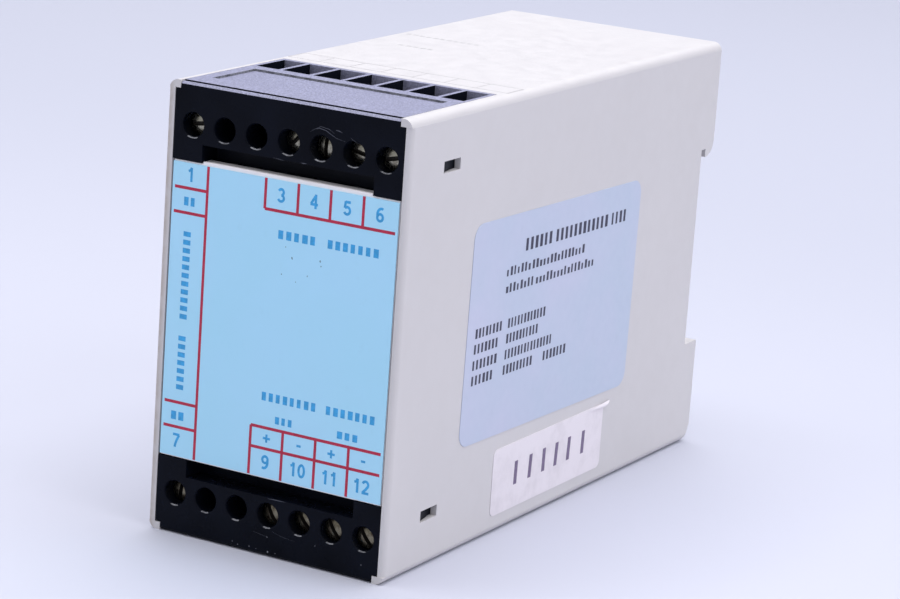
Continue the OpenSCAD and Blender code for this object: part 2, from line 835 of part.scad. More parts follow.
module main_board() in_frame() color(board_green) difference() {
    translate([-board_x - board_t, main_board_y, board_z]) cube([board_t, board_l, board_h]);
    header_pins_at() angle_pin(fit);
}

module board_header() in_frame() color(black) difference() {
    translate([-board_x, front_board_rear, header_z]) cube([header_a, header_a, header_l]);
    header_pins_at() angle_pin(fit / 2);
}

module header_pins() in_frame() color(tin) header_pins_at() angle_pin(0);

// Places a component on the main board, with its Z away from the board and its X down.
module on_board(at) {
    translate([-board_x, at[0], at[1]]) rotate([0, 90, 0]) children();
}

// Transformer

// A box about the Z axis between the heights z0 and z1.
module core_box(x, y, z0, z1) {
    translate([-x / 2, -y / 2, z0]) cube([x, y, z1 - z0]);
}

yoke_top = core_lift + core_limb;
window_top = core_lift + core_h - core_limb;
bobbin_a = core_stack + 2 * (bobbin_t + fit);
bobbin_b = core_middle + 2 * (bobbin_t + fit);
bobbin_y = core_l - 2 * core_limb - 2 * fit;
bobbin_x = core_stack + 2 * winding_out + 2 * bobbin_t;

module transformer_core() in_frame() color([0.35, 0.35, 0.37]) on_board(transformer_at)
    difference() {
        core_box(core_stack, core_l, core_lift, core_lift + core_h);
        difference() {
            core_box(core_stack + 2 * over, core_l - 2 * core_limb, yoke_top, window_top);
            core_box(core_stack + 4 * over, core_middle, yoke_top - over, window_top + over);
        }
    }

module transformer_bobbin() in_frame() color([0.16, 0.16, 0.18]) on_board(transformer_at)
    difference() {
        union() {
            core_box(bobbin_a, bobbin_b, yoke_top + fit, window_top - fit);
            core_box(bobbin_x, bobbin_y, yoke_top + fit, yoke_top + fit + bobbin_t);
            core_box(bobbin_x, bobbin_y, window_top - fit - bobbin_t, window_top - fit);
            for (side = [-1, 1]) translate([side * (bobbin_x + core_stack + 2 * fit) / 4, 0, 0])
                core_box((bobbin_x - core_stack) / 2 - fit, bobbin_y, 0, yoke_top + fit + bobbin_t);
        }
        core_box(core_stack + 2 * fit, core_middle + 2 * fit, -over, window_top + over);
    }

module transformer_winding() in_frame() color([0.72, 0.38, 0.16]) on_board(transformer_at)
    difference() {
        cheek = bobbin_t + 2 * fit;
        core_box(bobbin_x - 2 * bobbin_t, bobbin_y - 2 * fit, yoke_top + cheek, window_top - cheek);
        core_box(bobbin_a + 2 * fit, bobbin_b + 2 * fit, 0, window_top + over);
    }

// Power components

// Wall of a fuse clip, length of a fuse cap, and height of the fuse above the board
clip_wall = 0.4;
cap_l = 5;
fuse_lift = 1.2;

module mains_fuse() in_frame() color([0.80, 0.82, 0.80]) on_board(fuse_at)
    translate([0, 0, fuse_lift + fuse_d / 2]) {
        rod(-fuse_l / 2, fuse_l, fuse_d - 2 * fit);
        for (end = [0, 1]) rod((end - 0.5) * fuse_l - end * cap_l, cap_l, fuse_d);
    }

// A U-shaped clip, open at the top, around one fuse cap.
module fuse_clip() {
    a = fuse_d + 2 * fit;
    l = cap_l - 2 * clip_wall;
    difference() {
        translate([-a / 2 - clip_wall, -l / 2, 0]) cube([a + 2 * clip_wall, l, fuse_lift + fuse_d]);
        translate([-a / 2, -l, fuse_lift - fit]) cube([a, 2 * l, 2 * fuse_d]);
    }
}

module fuse_clips() in_frame() color(tin) on_board(fuse_at)
    for (end = [-1, 1]) translate([0, end * (fuse_l - cap_l) / 2, 0]) fuse_clip();

module surge_suppressor() in_frame() color([0.15, 0.35, 0.65]) on_board(suppressor_at) {
    translate([-suppressor_t / 2, 0, suppressor_lift + suppressor_d / 2]) rotate([0, 90, 0])
        cylinder(h = suppressor_t, d = suppressor_d);
    for (side = [-1, 1]) translate([0, side * suppressor_d / 4, 0]) cylinder(h = suppressor_d / 2, d = pin_t);
}

module bridge_rectifier() in_frame() color(black) on_board(rectifier_at)
    cylinder(h = rectifier_h, d = rectifier_d);

// A can with a rolled groove near its foot.
module can(d, l) {
    groove = d / 20;
    difference() {
        cylinder(h = l, d = d);
        translate([0, 0, l / 5]) rotate_extrude() translate([d / 2, 0]) circle(groove);
    }
}

module filter_capacitors() in_frame() color([0.12, 0.16, 0.30]) {
    on_board(big_cap_at) can(big_cap_d, big_cap_l);
    on_board(small_cap_at) can(small_cap_d, small_cap_l);
}

// A power regulator that stands on three legs, with its cooling tab on one side.
module voltage_regulator() in_frame() color([0.20, 0.20, 0.21]) on_board(regulator_at) {
    translate([0, -regulator_w / 2, regulator_lift]) cube([regulator_t, regulator_w, regulator_h]);
    difference() {
        translate([-tab_t, -regulator_w / 2, regulator_lift]) cube([tab_t, regulator_w, tab_h]);
        translate([-tab_t - over, 0, regulator_lift + tab_h - tab_hole]) rotate([0, 90, 0])
            cylinder(h = tab_t + 2 * over, d = tab_hole);
    }
    for (k = [-1 : 1]) translate([regulator_t / 2, k * chip_pitch - leg_w / 2, 0])
        cube([leg_t, leg_w, regulator_lift + over]);
}

// Signal components

// A chip body with that many legs on each long side.
module chip(legs) {
    body_l = legs * chip_pitch - leg_t;
    translate([-chip_w / 2, -body_l / 2, chip_lift]) cube([chip_w, body_l, chip_h]);
    for (x = [-chip_w / 2 - leg_t, chip_w / 2], k = [0 : legs - 1])
        translate([x, (k - (legs - 1) / 2) * chip_pitch - leg_w / 2, 0])
            cube([leg_t, leg_w, chip_lift + chip_h / 2]);
}

module amplifier_chips() in_frame() color(black)
    for (at = amplifiers_at) on_board(at) chip(4);

module isolation_chip() in_frame() color([0.93, 0.92, 0.88]) on_board(isolation_at) chip(3);

module film_capacitors() in_frame() color([0.78, 0.62, 0.18])
    for (at = films_at) on_board(at) core_box(film_t, film_l, 0, film_h);

module resistor() {
    reach = resistor_l / 2 + 2.5 * lead_d;
    lift = resistor_d / 2 + lead_d / 2;
    translate([0, 0, lift]) {
        rod(-resistor_l / 2, resistor_l, resistor_d);
        rod(-reach, 2 * reach, lead_d);
    }
    for (end = [-1, 1]) translate([0, end * reach, 0]) cylinder(h = lift, d = lead_d);
}

module resistors() in_frame() color([0.70, 0.58, 0.42])
    for (k = [0 : resistor_count - 1]) on_board(resistors_at - [0, k * resistor_pitch]) resistor();

// A sealed trimmer on the front board, with its slotted adjuster towards the front.
module trimmer() {
    translate([-trimmer_a / 2, -trimmer_a, -trimmer_t / 2]) cube([trimmer_a, trimmer_a, trimmer_t]);
    translate([trimmer_a / 4, -trimmer_a - knob_h, 0]) difference() {
        rod(0, knob_h + over, knob_d);
        translate([-knob_d, -over, -knob_slot / 2]) cube([2 * knob_d, knob_slot + over, knob_slot]);
    }
}

module trimmers() in_frame() color([0.10, 0.28, 0.62])
    for (side = [-1, 1])
        translate([trimmer_x, front_board_y, case_h / 2 + side * trimmer_span / 2]) trimmer();

case_shell();
upper_terminal_block();
lower_terminal_block();
upper_clamp_screws();
lower_clamp_screws();
upper_wire_clamps();
lower_wire_clamps();
upper_contacts();
lower_contacts();
front_cover();
front_label();
rating_label();
stock_sticker();
rail_latch();
latch_spring();
front_board();
main_board();
board_header();
header_pins();
transformer_core();
transformer_bobbin();
transformer_winding();
mains_fuse();
fuse_clips();
surge_suppressor();
bridge_rectifier();
filter_capacitors();
voltage_regulator();
amplifier_chips();
isolation_chip();
film_capacitors();
resistors();
trimmers();
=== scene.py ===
import math
import random

import bmesh
import bpy
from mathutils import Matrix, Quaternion, Vector


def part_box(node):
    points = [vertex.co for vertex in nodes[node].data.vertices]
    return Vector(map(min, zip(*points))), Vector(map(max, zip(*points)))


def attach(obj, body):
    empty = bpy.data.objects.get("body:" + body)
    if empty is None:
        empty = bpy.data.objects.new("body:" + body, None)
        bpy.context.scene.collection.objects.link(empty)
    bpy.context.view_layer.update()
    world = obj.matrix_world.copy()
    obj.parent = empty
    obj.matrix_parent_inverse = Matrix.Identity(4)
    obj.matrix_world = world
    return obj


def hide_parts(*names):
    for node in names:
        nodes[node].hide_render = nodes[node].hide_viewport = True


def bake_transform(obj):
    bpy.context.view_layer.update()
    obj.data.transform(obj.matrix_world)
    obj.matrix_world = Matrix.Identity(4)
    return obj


MM = 0.001
FRONT = -55.0
CASE_W = 45.0
CASE_H = 75.0
MIDDLE_Z = CASE_H / 2
PITCH = 6.0  # of the poles
SIDE_LABEL_X = CASE_W / 2 + 0.1  # the outer face of the rating label and the sticker
INK_T = 0.012  # the top of printed ink above its face
INK_LIFT = 0.001  # the underside of anything that lies on a face

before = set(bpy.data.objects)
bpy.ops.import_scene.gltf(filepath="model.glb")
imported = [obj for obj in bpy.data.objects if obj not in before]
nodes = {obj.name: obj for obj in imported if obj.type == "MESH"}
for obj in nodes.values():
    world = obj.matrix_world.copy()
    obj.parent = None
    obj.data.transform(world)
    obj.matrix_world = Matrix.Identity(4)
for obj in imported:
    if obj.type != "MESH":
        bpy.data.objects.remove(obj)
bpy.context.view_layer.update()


# Shader building

class Shader:
    """One procedural material around a Principled shader. Its texture lengths are in millimetres."""

    def __init__(self, name, colour, roughness=0.5, metallic=0.0, **sockets):
        self.material = bpy.data.materials.new(name)
        self.material.use_nodes = True
        self.tree = self.material.node_tree
        self.tree.nodes.clear()
        self.surface = self.add("ShaderNodeBsdfPrincipled")
        self.surface.inputs["Base Color"].default_value = (*colour, 1.0)
        self.surface.inputs["Roughness"].default_value = roughness
        self.surface.inputs["Metallic"].default_value = metallic
        for socket, value in sockets.items():
            self.surface.inputs[socket.replace("_", " ")].default_value = value
        output = self.add("ShaderNodeOutputMaterial")
        self.link(self.surface.outputs["BSDF"], output.inputs["Surface"])
        coordinates = self.add("ShaderNodeTexCoord")
        scale = self.add("ShaderNodeVectorMath", operation="SCALE")
        scale.inputs["Scale"].default_value = 1 / MM
        self.link(coordinates.outputs["Object"], scale.inputs[0])
        self.place = scale.outputs["Vector"]

    def add(self, kind, **settings):
        node = self.tree.nodes.new(kind)
        for setting, value in settings.items():
            setattr(node, setting, value)
        return node

    def link(self, source, target):
        self.tree.links.new(source, target)

    def stretched(self, x, y, z):
        """The place with each axis multiplied, for grain that runs one way."""
        node = self.add("ShaderNodeVectorMath", operation="MULTIPLY")
        node.inputs[1].default_value = (x, y, z)
        self.link(self.place, node.inputs[0])
        return node.outputs["Vector"]

    def noise(self, size, detail=2.0, roughness=0.5, at=None):
        """Cloudy noise with lumps of that size."""
        node = self.add("ShaderNodeTexNoise")
        node.inputs["Scale"].default_value = 1 / size
        node.inputs["Detail"].default_value = detail
        node.inputs["Roughness"].default_value = roughness
        self.link(self.place if at is None else at, node.inputs["Vector"])
        return node.outputs["Fac"]

    def cells(self, size, feature="F1", at=None):
        """Distance to the nearest of scattered points about that far apart."""
        node = self.add("ShaderNodeTexVoronoi", feature=feature)
        node.inputs["Scale"].default_value = 1 / size
        self.link(self.place if at is None else at, node.inputs["Vector"])
        return node.outputs["Distance"]

    def span(self, value, low, high, to_low=0.0, to_high=1.0):
        """value mapped from low..high to to_low..to_high and held there."""
        node = self.add("ShaderNodeMapRange", interpolation_type="SMOOTHSTEP")
        node.inputs["From Min"].default_value = low
        node.inputs["From Max"].default_value = high
        node.inputs["To Min"].default_value = to_low
        node.inputs["To Max"].default_value = to_high
        self.link(value, node.inputs["Value"])
        return node.outputs["Result"]

    def maths(self, operation, a, b):
        """Adds, multiplies or otherwise joins two values, each a socket or a number."""
        node = self.add("ShaderNodeMath", operation=operation)
        for socket, value in zip(node.inputs, (a, b)):
            if isinstance(value, (int, float)):
                socket.default_value = value
            else:
                self.link(value, socket)
        return node.outputs["Value"]

    def axis(self, name):
        node = self.add("ShaderNodeSeparateXYZ")
        self.link(self.place, node.inputs["Vector"])
        return node.outputs[name]

    def colours(self, factor, *stops):
        """A colour ramp over factor, with stops as (position, colour)."""
        node = self.add("ShaderNodeValToRGB")
        ramp = node.color_ramp
        while len(ramp.elements) < len(stops):
            ramp.elements.new(1.0)
        for element, (position, colour) in zip(ramp.elements, stops):
            element.position = position
            element.color = (*colour, 1.0)
        self.link(factor, node.inputs["Fac"])
        return node.outputs["Color"]

    def blend(self, factor, a, b):
        """Mixes colour a into b by factor. a and b are sockets or colours."""
        node = self.add("ShaderNodeMix", data_type="RGBA")
        self.link(factor, node.inputs["Factor"])
        for socket, value in ((node.inputs["A"], a), (node.inputs["B"], b)):
            if isinstance(value, tuple):
                socket.default_value = (*value, 1.0)
            else:
                self.link(value, socket)
        return node.outputs["Result"]

    def colour(self, socket):
        self.link(socket, self.surface.inputs["Base Color"])

    def roughness(self, socket):
        self.link(socket, self.surface.inputs["Roughness"])

    def relief(self, *layers):
        """Bumps, each (height socket, depth in millimetres)."""
        normal = None
        for height, depth in layers:
            node = self.add("ShaderNodeBump")
            node.inputs["Strength"].default_value = 1.0
            node.inputs["Distance"].default_value = depth * MM
            self.link(height, node.inputs["Height"])
            if normal is not None:
                self.link(normal, node.inputs["Normal"])
            normal = node.outputs["Normal"]
        self.link(normal, self.surface.inputs["Normal"])


def scaled(colour, factor):
    return tuple(channel * factor for channel in colour)


# Materials

CASE_GREY = (0.560, 0.545, 0.560)
BLOCK_BLACK = (0.0026, 0.0036, 0.0075)
# The pale lavender of the blocks' textured faces: partly dust, partly painted sheen of the light from above and
# behind
BLOCK_DUST_AND_SHEEN = (0.292, 0.300, 0.452)
LABEL_BLUE = (0.385, 0.720, 0.925)
RATING_BLUE = (0.456, 0.524, 0.660)
STICKER_WHITE = (0.730, 0.690, 0.740)


def moulded(name, colour, roughness, grain, depth, mottling=0.04, waves=0.02):
    """Moulded plastic with a fine spark grain, faint flow clouds and a little handling dirt."""
    shader = Shader(name, colour, roughness)
    clouds = shader.noise(14.0, 3.0)
    shade = shader.colours(clouds, (0.3, scaled(colour, 1 - mottling)), (0.7, scaled(colour, 1 + mottling)))
    specks = shader.span(shader.cells(5.5), 0.0, 0.035, 1.0, 0.0)
    sparse = shader.span(shader.noise(9.0, 1.0), 0.52, 0.60)
    dirt = shader.maths("MULTIPLY", specks, sparse)
    shader.colour(shader.blend(dirt, shade, scaled(colour, 0.55)))
    shader.roughness(shader.span(shader.noise(3.0, 4.0), 0.3, 0.7, roughness - 0.06, roughness + 0.07))
    shader.relief((shader.noise(grain, 3.0, 0.6), depth), (shader.noise(18.0, 1.0), waves))
    return shader


def case_moulding():
    """The case's plastic, with old handling dirt along the front edge of its left wall."""
    shader = moulded("case_plastic", CASE_GREY, 0.46, 0.22, 0.004, 0.012, 0.004)
    clean = shader.surface.inputs["Base Color"].links[0].from_socket
    left = shader.span(shader.axis("X"), -22.4, -21.2, 1.0, 0.0)
    front = shader.span(shader.axis("Y"), FRONT, FRONT + 0.9, 1.0, 0.0)
    patches = shader.span(shader.noise(2.5, 3.0), 0.35, 0.60, 0.55, 1.0)
    dirt = shader.maths("MULTIPLY", shader.maths("MULTIPLY", left, front), patches)
    shader.colour(shader.blend(dirt, clean, (0.430, 0.390, 0.365)))
    return shader.material


case_plastic = case_moulding()
# Painted light: the cover's plastic is 1.5 times as light as the case's, so that its lip in the shade of the finger
# recess reads light
cover_plastic = moulded("cover_plastic", scaled(CASE_GREY, 1.5), 0.40, 0.2, 0.004, 0.012, 0.004).material


def block_textured():
    """The spark-textured faces of the black blocks, with a pale lavender over the grain that is partly dust and
    partly painted sheen.
    """
    shader = Shader("block_textured", BLOCK_BLACK, 0.5, Specular_IOR_Level=0.9)
    dust = shader.span(shader.noise(0.26, 3.0, 0.8, shader.stretched(1.0, 0.4, 1.0)), 0.42, 0.60)
    cloud = shader.span(shader.noise(9.0, 2.0), 0.35, 0.75, 0.75, 1.0)
    shader.colour(shader.blend(shader.maths("MULTIPLY", dust, cloud), scaled(BLOCK_DUST_AND_SHEEN, 0.60), BLOCK_DUST_AND_SHEEN))
    shader.roughness(shader.span(shader.noise(0.5, 2.0), 0.3, 0.7, 0.36, 0.60))
    shader.relief((shader.noise(0.42, 2.0, 0.6), 0.055), (shader.cells(0.3, "SMOOTH_F1"), 0.02))
    return shader.material


def block_polished():
    """The smooth front faces of the black blocks, with hairline scratches and a few specks of dust."""
    shader = Shader("block_polished", BLOCK_BLACK, 0.30, Specular_IOR_Level=0.06)
    hair = shader.noise(0.55, 5.0, 0.7, shader.stretched(0.16, 1.0, 1.0))
    scratches = shader.span(hair, 0.72, 0.78)
    specks = shader.span(shader.cells(1.9), 0.0, 0.03, 1.0, 0.0)
    sparse = shader.span(shader.noise(5.0, 1.0), 0.52, 0.60)
    dust = shader.maths("MULTIPLY", specks, sparse)
    marks = shader.maths("MAXIMUM", shader.maths("MULTIPLY", scratches, 0.3), dust)
    clouds = shader.colours(shader.noise(9.0, 2.0), (0.3, scaled(BLOCK_BLACK, 0.8)), (0.75, scaled(BLOCK_BLACK, 1.5)))
    shader.colour(shader.blend(marks, clouds, (0.022, 0.027, 0.040)))
    shader.roughness(shader.span(shader.noise(2.5, 3.0), 0.3, 0.7, 0.22, 0.42))
    shader.relief((shader.noise(2.2, 2.0), 0.008), (hair, 0.003))
    return shader.material


def rim_and_wall_light():
    """A grey mottled by noise, painted on the black: a painted glint on the moulded lower edges of the holes, and
    painted light on the walls of the marker recess.
    """
    shader = Shader("block_rim_painted_light", BLOCK_BLACK, 0.30, Specular_IOR_Level=0.5)
    wear = shader.span(shader.noise(0.6, 3.0, 0.6), 0.35, 0.65)
    shader.colour(shader.blend(wear, (0.075, 0.078, 0.090), (0.200, 0.205, 0.230)))
    shader.roughness(shader.span(shader.noise(0.3, 2.0), 0.3, 0.7, 0.25, 0.45))
    return shader.material


def metal(name, colour, roughness, tarnish, brushed=(1.0, 1.0, 1.0)):
    """Plated metal, dulled in patches and brushed one way."""
    shader = Shader(name, colour, roughness, 1.0)
    patches = shader.span(shader.noise(1.3, 4.0, 0.6), 0.42, 0.66)
    shader.colour(shader.blend(patches, colour, tarnish))
    grain = shader.noise(0.12, 3.0, 0.6, shader.stretched(*brushed))
    shader.roughness(shader.span(grain, 0.3, 0.7, roughness - 0.08, roughness + 0.15))
    shader.relief((grain, 0.004), (shader.noise(0.9, 3.0), 0.015))
    return shader.material


def film(name, colour, roughness, shift):
    """A printed film: even colour with a faint shift across it, and the cover's waviness below it."""
    shader = Shader(name, colour, roughness)
    clouds = shader.noise(16.0, 2.0)
    shade = shader.colours(clouds, (0.3, scaled(colour, 0.97)), (0.7, shift))
    smudge = shader.span(shader.noise(2.6, 3.0, 0.6), 0.60, 0.80, 0.0, 0.12)
    shader.colour(shader.blend(smudge, shade, scaled(colour, 0.72)))
    shader.roughness(shader.span(shader.noise(1.6, 3.0), 0.3, 0.7, roughness - 0.05, roughness + 0.08))
    shader.relief((shader.noise(9.0, 2.0), 0.02), (shader.noise(0.3, 2.0), 0.0015))
    return shader.material


def ink(name, colour, roughness=0.45):
    """Printed ink, a little uneven where it lies thin."""
    shader = Shader(name, colour, roughness)
    thin = shader.noise(0.7, 3.0, 0.6)
    shader.colour(shader.colours(thin, (0.35, scaled(colour, 0.85)), (0.7, scaled(colour, 1.15))))
    shader.roughness(shader.span(shader.noise(0.4, 2.0), 0.3, 0.7, roughness - 0.08, roughness + 0.08))
    return shader.material


def paper(name, colour):
    """Sticker paper with fibres, greyed where it was handled."""
    shader = Shader(name, colour, 0.62)
    clouds = shader.span(shader.noise(5.0, 4.0, 0.6), 0.42, 0.72)
    shader.colour(shader.blend(clouds, colour, scaled(colour, 0.90)))
    fibres = shader.noise(0.25, 4.0, 0.6, shader.stretched(1.0, 0.3, 1.0))
    shader.roughness(shader.span(fibres, 0.3, 0.7, 0.52, 0.72))
    shader.relief((fibres, 0.006), (shader.noise(6.0, 2.0), 0.04))
    return shader.material


def laminate():
    """Lacquered board laminate with the weave of its glass cloth."""
    green = (0.012, 0.105, 0.040)
    shader = Shader("board_laminate", green, 0.32)
    weave = shader.add("ShaderNodeTexChecker")
    weave.inputs["Scale"].default_value = 1.4
    shader.link(shader.place, weave.inputs["Vector"])
    shade = shader.colours(shader.noise(6.0, 3.0), (0.3, scaled(green, 0.8)), (0.7, scaled(green, 1.3)))
    shader.colour(shader.blend(shader.maths("MULTIPLY", weave.outputs["Fac"], 0.12), shade, scaled(green, 1.9)))
    shader.relief((weave.outputs["Fac"], 0.004))
    return shader.material


def winding():
    """Enamelled copper wire laid in turns, with painted shade in the hollows between them."""
    copper = (0.42, 0.13, 0.035)
    shader = Shader("winding_copper", copper, 0.28, 0.85)
    turns = shader.add("ShaderNodeTexWave", bands_direction="X", wave_profile="SIN")
    turns.inputs["Scale"].default_value = 1.1
    turns.inputs["Distortion"].default_value = 0.6
    shader.link(shader.place, turns.inputs["Vector"])
    shader.colour(shader.colours(turns.outputs["Fac"], (0.2, scaled(copper, 0.35)), (0.8, copper)))
    shader.relief((turns.outputs["Fac"], 0.12))
    return shader.material


def laminations():
    """The stacked sheets of the transformer's core."""
    iron = (0.13, 0.13, 0.14)
    shader = Shader("core_iron", iron, 0.45, 0.8)
    sheets = shader.add("ShaderNodeTexWave", bands_direction="Z", wave_profile="SAW")
    sheets.inputs["Scale"].default_value = 0.62
    shader.link(shader.place, sheets.inputs["Vector"])
    rust = shader.span(shader.noise(2.0, 4.0, 0.6), 0.58, 0.75, 0.0, 0.5)
    edges = shader.colours(sheets.outputs["Fac"], (0.1, scaled(iron, 0.5)), (0.5, iron))
    shader.colour(shader.blend(rust, edges, (0.16, 0.07, 0.03)))
    shader.relief((sheets.outputs["Fac"], 0.05))
    return shader.material


def glass():
    """The fuse's clear tube, a little clouded."""
    shader = Shader("fuse_glass", (0.86, 0.90, 0.88), 0.06, Transmission_Weight=0.85, IOR=1.5)
    shader.roughness(shader.span(shader.noise(1.0, 3.0), 0.4, 0.7, 0.03, 0.12))
    return shader.material


polished_black = block_polished()
textured_black = block_textured()
painted_rim_grey = rim_and_wall_light()
# Painted light: a lighter black for the back of the upper finger recess, against the shade inside it
recess = moulded("block_recess_painted_light", scaled(BLOCK_BLACK, 1.5), 0.45, 0.4, 0.01, 0.2)
recess.surface.inputs["Specular IOR Level"].default_value = 0.12
recess_light_painted = recess.material
# A darker, warmer copy of the screw steel, for the lower screws
darker_steel = metal("darker_screw_steel", (0.190, 0.172, 0.125), 0.28, (0.085, 0.070, 0.050), (1.0, 1.0, 0.2))
screw_steel = metal("screw_steel", (0.345, 0.333, 0.272), 0.26, (0.19, 0.175, 0.135), (1.0, 1.0, 0.2))
# Near-black for the walls and floors of the screws' driver slots
slot_near_black = moulded("near_black_screw_slot", (0.020, 0.016, 0.012), 0.60, 0.3, 0.02, 0.3).material
contact_metal = metal("contact_metal", (0.70, 0.70, 0.70), 0.30, (0.48, 0.47, 0.45), (1.0, 0.2, 1.0))
inner_black = moulded("header_plastic", (0.018, 0.018, 0.021), 0.45, 0.3, 0.008, 0.15).material

NODE_MATERIALS = {
    "case_shell": case_plastic,
    "front_cover": cover_plastic,
    "upper_clamp_screws": screw_steel,
    "lower_clamp_screws": darker_steel,
    "upper_wire_clamps": metal("clamp_metal", (0.66, 0.60, 0.44), 0.32, (0.40, 0.33, 0.20)),
    "upper_contacts": contact_metal,
    "lower_contacts": contact_metal,
    "header_pins": contact_metal,
    "fuse_clips": contact_metal,
    "front_label": film("front_label_film", LABEL_BLUE, 0.36, (0.390, 0.702, 0.925)),
    "rating_label": film("rating_label_film", RATING_BLUE, 0.40, (0.487, 0.513, 0.660)),
    "stock_sticker": paper("sticker_paper", STICKER_WHITE),
    "rail_latch": moulded("latch_plastic", (0.012, 0.012, 0.015), 0.42, 0.3, 0.01, 0.2).material,
    "latch_spring": metal("spring_steel", (0.58, 0.58, 0.58), 0.25, (0.40, 0.38, 0.36)),
    "front_board": laminate(),
    "board_header": inner_black,
    "transformer_core": laminations(),
    "transformer_bobbin": inner_black,
    "transformer_winding": winding(),
    "mains_fuse": glass(),
    "surge_suppressor": moulded("suppressor_resin", (0.02, 0.10, 0.36), 0.22, 1.2, 0.03, 0.1).material,
    "bridge_rectifier": inner_black,
    "filter_capacitors": moulded("capacitor_sleeve", (0.014, 0.022, 0.075), 0.25, 0.8, 0.01, 0.1).material,
    "voltage_regulator": inner_black,
    "amplifier_chips": inner_black,
    "isolation_chip": moulded("isolator_plastic", (0.80, 0.78, 0.72), 0.45, 0.3, 0.006).material,
    "film_capacitors": moulded("film_resin", (0.55, 0.33, 0.03), 0.25, 0.6, 0.008, 0.08).material,
    "resistors": moulded("resistor_lacquer", (0.46, 0.30, 0.15), 0.4, 0.6, 0.01, 0.08).material,
    "trimmers": moulded("trimmer_plastic", (0.012, 0.055, 0.33), 0.35, 0.5, 0.006, 0.08).material,
}
NODE_MATERIALS["lower_wire_clamps"] = NODE_MATERIALS["upper_wire_clamps"]
NODE_MATERIALS["main_board"] = NODE_MATERIALS["front_board"]


# Finer fit of the front to the photo: copies of seven CAD nodes with their points moved by up to 0.65 mm

WALL, THIN_SIDE, THIN_TOP = 1.5, 0.4, 0.2  # the walls, and how much thinner the sides and the top and bottom get
EAR_IN, EAR_MOVE = 20.1, 0.3  # the ears' inner edges from the middle, and how far they move out
EDGE_R, RIGHT_EDGE, LEFT_EDGE = 0.5, 2.2, 0.4  # the radius of the front edges, and its factor on each side
HOLE_R, HOLE_L = 2.4, 6.0  # a point of a block this near a screw axis and the front is on the hole
HOLE_SCALE, HEAD_SCALE = 0.93, 0.95
SCREW_DROP = 6.9  # from the case's top or bottom to the screw axes
POLE_SHIFT = 0.25  # how far the poles move to the right
CLOSE = 0.01  # a point this near a place counts as on it
shown = dict(nodes)


def copy_of(name):
    """A copy of a node's object that is shown in its place."""
    piece = bpy.data.objects.new(name + "_fitted", nodes[name].data.copy())
    bpy.context.scene.collection.objects.link(piece)
    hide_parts(name)
    shown[name] = piece
    return piece


def refit(name, move):
    """Shows a node as a copy whose points went through move(x, y, z), with y from the front face."""
    piece = copy_of(name)
    for vertex in piece.data.vertices:
        x, y, z = vertex.co / MM
        x, y, z = move(x, y - FRONT, z)
        vertex.co = Vector((x, y + FRONT, z)) * MM
    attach(piece, "housing")


def flexing_spring():
    """The latch's spring as a copy, with its placement baked into its points."""
    piece = copy_of("latch_spring")
    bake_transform(piece)


def outward(value, *places):
    """value, or where it lies at one of the (place, by), on either side of zero, moved out by that."""
    for place, by in places:
        if abs(abs(value) - place) < CLOSE:
            return math.copysign(place + by, value)
    return value


def fit_case(x, y, z):
    """Thinner walls, narrower ears, a rounder right front edge and a sharper left one."""
    x = outward(x, (CASE_W / 2 - WALL, THIN_SIDE), (EAR_IN, EAR_MOVE))
    z = MIDDLE_Z + outward(z - MIDDLE_Z, (MIDDLE_Z - WALL, THIN_TOP))
    between_ears = abs(z - MIDDLE_Z) < MIDDLE_Z - WALL + THIN_TOP + CLOSE
    if between_ears and y < EDGE_R + CLOSE and abs(x) > CASE_W / 2 - EDGE_R - CLOSE:
        grow = RIGHT_EDGE if x > 0 else LEFT_EDGE
        return math.copysign(CASE_W / 2 - (CASE_W / 2 - abs(x)) * grow, x), y * grow, z
    return x, y, z


def to_pole(x, z, scale):
    """A point about its nearest pole's screw axis, drawn in by scale and moved with the poles."""
    axis_x = PITCH * round(x / PITCH)
    axis_z = CASE_H - SCREW_DROP if z > MIDDLE_Z else SCREW_DROP
    near = math.hypot(x - axis_x, z - axis_z) < HOLE_R
    return near, axis_x + POLE_SHIFT + (x - axis_x) * scale, axis_z + (z - axis_z) * scale


def fit_rim(y, depth):
    """The outer front edge of a block, with depth from the case's top or bottom: a lower rim before the groove."""
    groove_from, groove_to, widen = 0.5, 0.9, 0.1
    rim_end, drop = 0.4, 0.15
    if depth < groove_from and y < groove_from + CLOSE:
        if y < CLOSE:
            return y, depth + 2 * drop
        if y < groove_from - CLOSE:
            return rim_end, drop
        return y, depth + drop
    if depth < groove_from and abs(y - groove_to) < CLOSE:
        return y + widen, depth + (drop if depth > CLOSE else 0.0)
    return y, depth


def fit_block(x, y, z):
    """Sides that meet the thinner walls, smaller holes moved right, and the rim."""
    near, hole_x, hole_z = to_pole(x, z, HOLE_SCALE)
    if near and y < HOLE_L:
        return hole_x, y, hole_z
    recess_half, recess_d = 16.0, 4.6
    if y < recess_d and abs(abs(x) - recess_half) < CLOSE:
        x += POLE_SHIFT
    body_half, barb_half, notch_half, notch_depth = 20.9, 21.9, 20.0, 1.6
    x = outward(x, (body_half, THIN_SIDE), (barb_half, THIN_SIDE), (notch_half, EAR_MOVE))
    outer = 1 if z > MIDDLE_Z else -1
    y, depth = fit_rim(y, MIDDLE_Z - abs(z - MIDDLE_Z))
    if abs(depth - notch_depth) < CLOSE:
        depth -= THIN_TOP
    return x, y, MIDDLE_Z + outer * (MIDDLE_Z - depth)


def fit_cover(x, y, z):
    """The cover or its label: sides that meet the thinner walls, and the lip moved with the poles."""
    lip_from, lip_to, cover_half, label_half = 15.0, 17.0, 20.7, 20.65
    if lip_from < abs(x) < lip_to:
        x += POLE_SHIFT
    return outward(x, (cover_half, THIN_SIDE), (label_half, THIN_SIDE)), y, z


